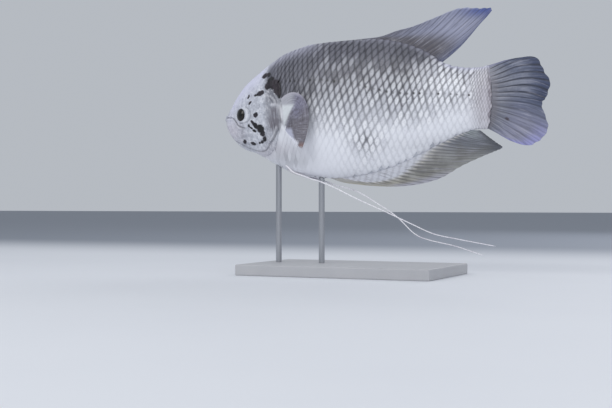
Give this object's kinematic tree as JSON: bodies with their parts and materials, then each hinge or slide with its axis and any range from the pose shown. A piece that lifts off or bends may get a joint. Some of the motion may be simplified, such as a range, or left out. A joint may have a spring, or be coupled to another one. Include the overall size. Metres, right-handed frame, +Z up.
{
  "type": "giant gourami",
  "caption": "Life-size still model of an adult giant gourami, deep-bodied with long thread-like pelvic rays, swimming level on a plain base with short rods.",
  "frame": {"origin": "middle of the bounding box at the underside of the stand's base", "axes": "+Z up, -X towards the snout and +X towards the tail, -Y the fish's left side"},
  "size_m": [0.5192, 0.18, 0.3824],
  "materials": {
    "face_skin": "satin",
    "flank_skin": "satin",
    "fin": "satin",
    "long_ray": "satin",
    "eye": "gloss",
    "stand_base": "satin",
    "stand_rod": "brushed"
  },
  "bodies": {
    "root": {"head": "face_skin", "gill_cover_left": "face_skin", "gill_cover_right": "face_skin", "torso": "flank_skin", "tail_stalk": "flank_skin", "eye_left": "eye", "eye_right": "eye", "dorsal_fin": "fin", "anal_fin": "fin", "tail_fin": "fin", "pectoral_fin_left": "fin", "pectoral_fin_right": "fin", "pelvic_fin_left": "fin", "pelvic_fin_right": "fin", "pelvic_ray_left_front": "long_ray", "pelvic_ray_left_rear": "long_ray", "pelvic_ray_right_front": "long_ray", "pelvic_ray_right_rear": "long_ray", "stand_base": "stand_base", "stand_rod_front": "stand_rod", "stand_rod_rear": "stand_rod"}
  },
  "joints": []
}
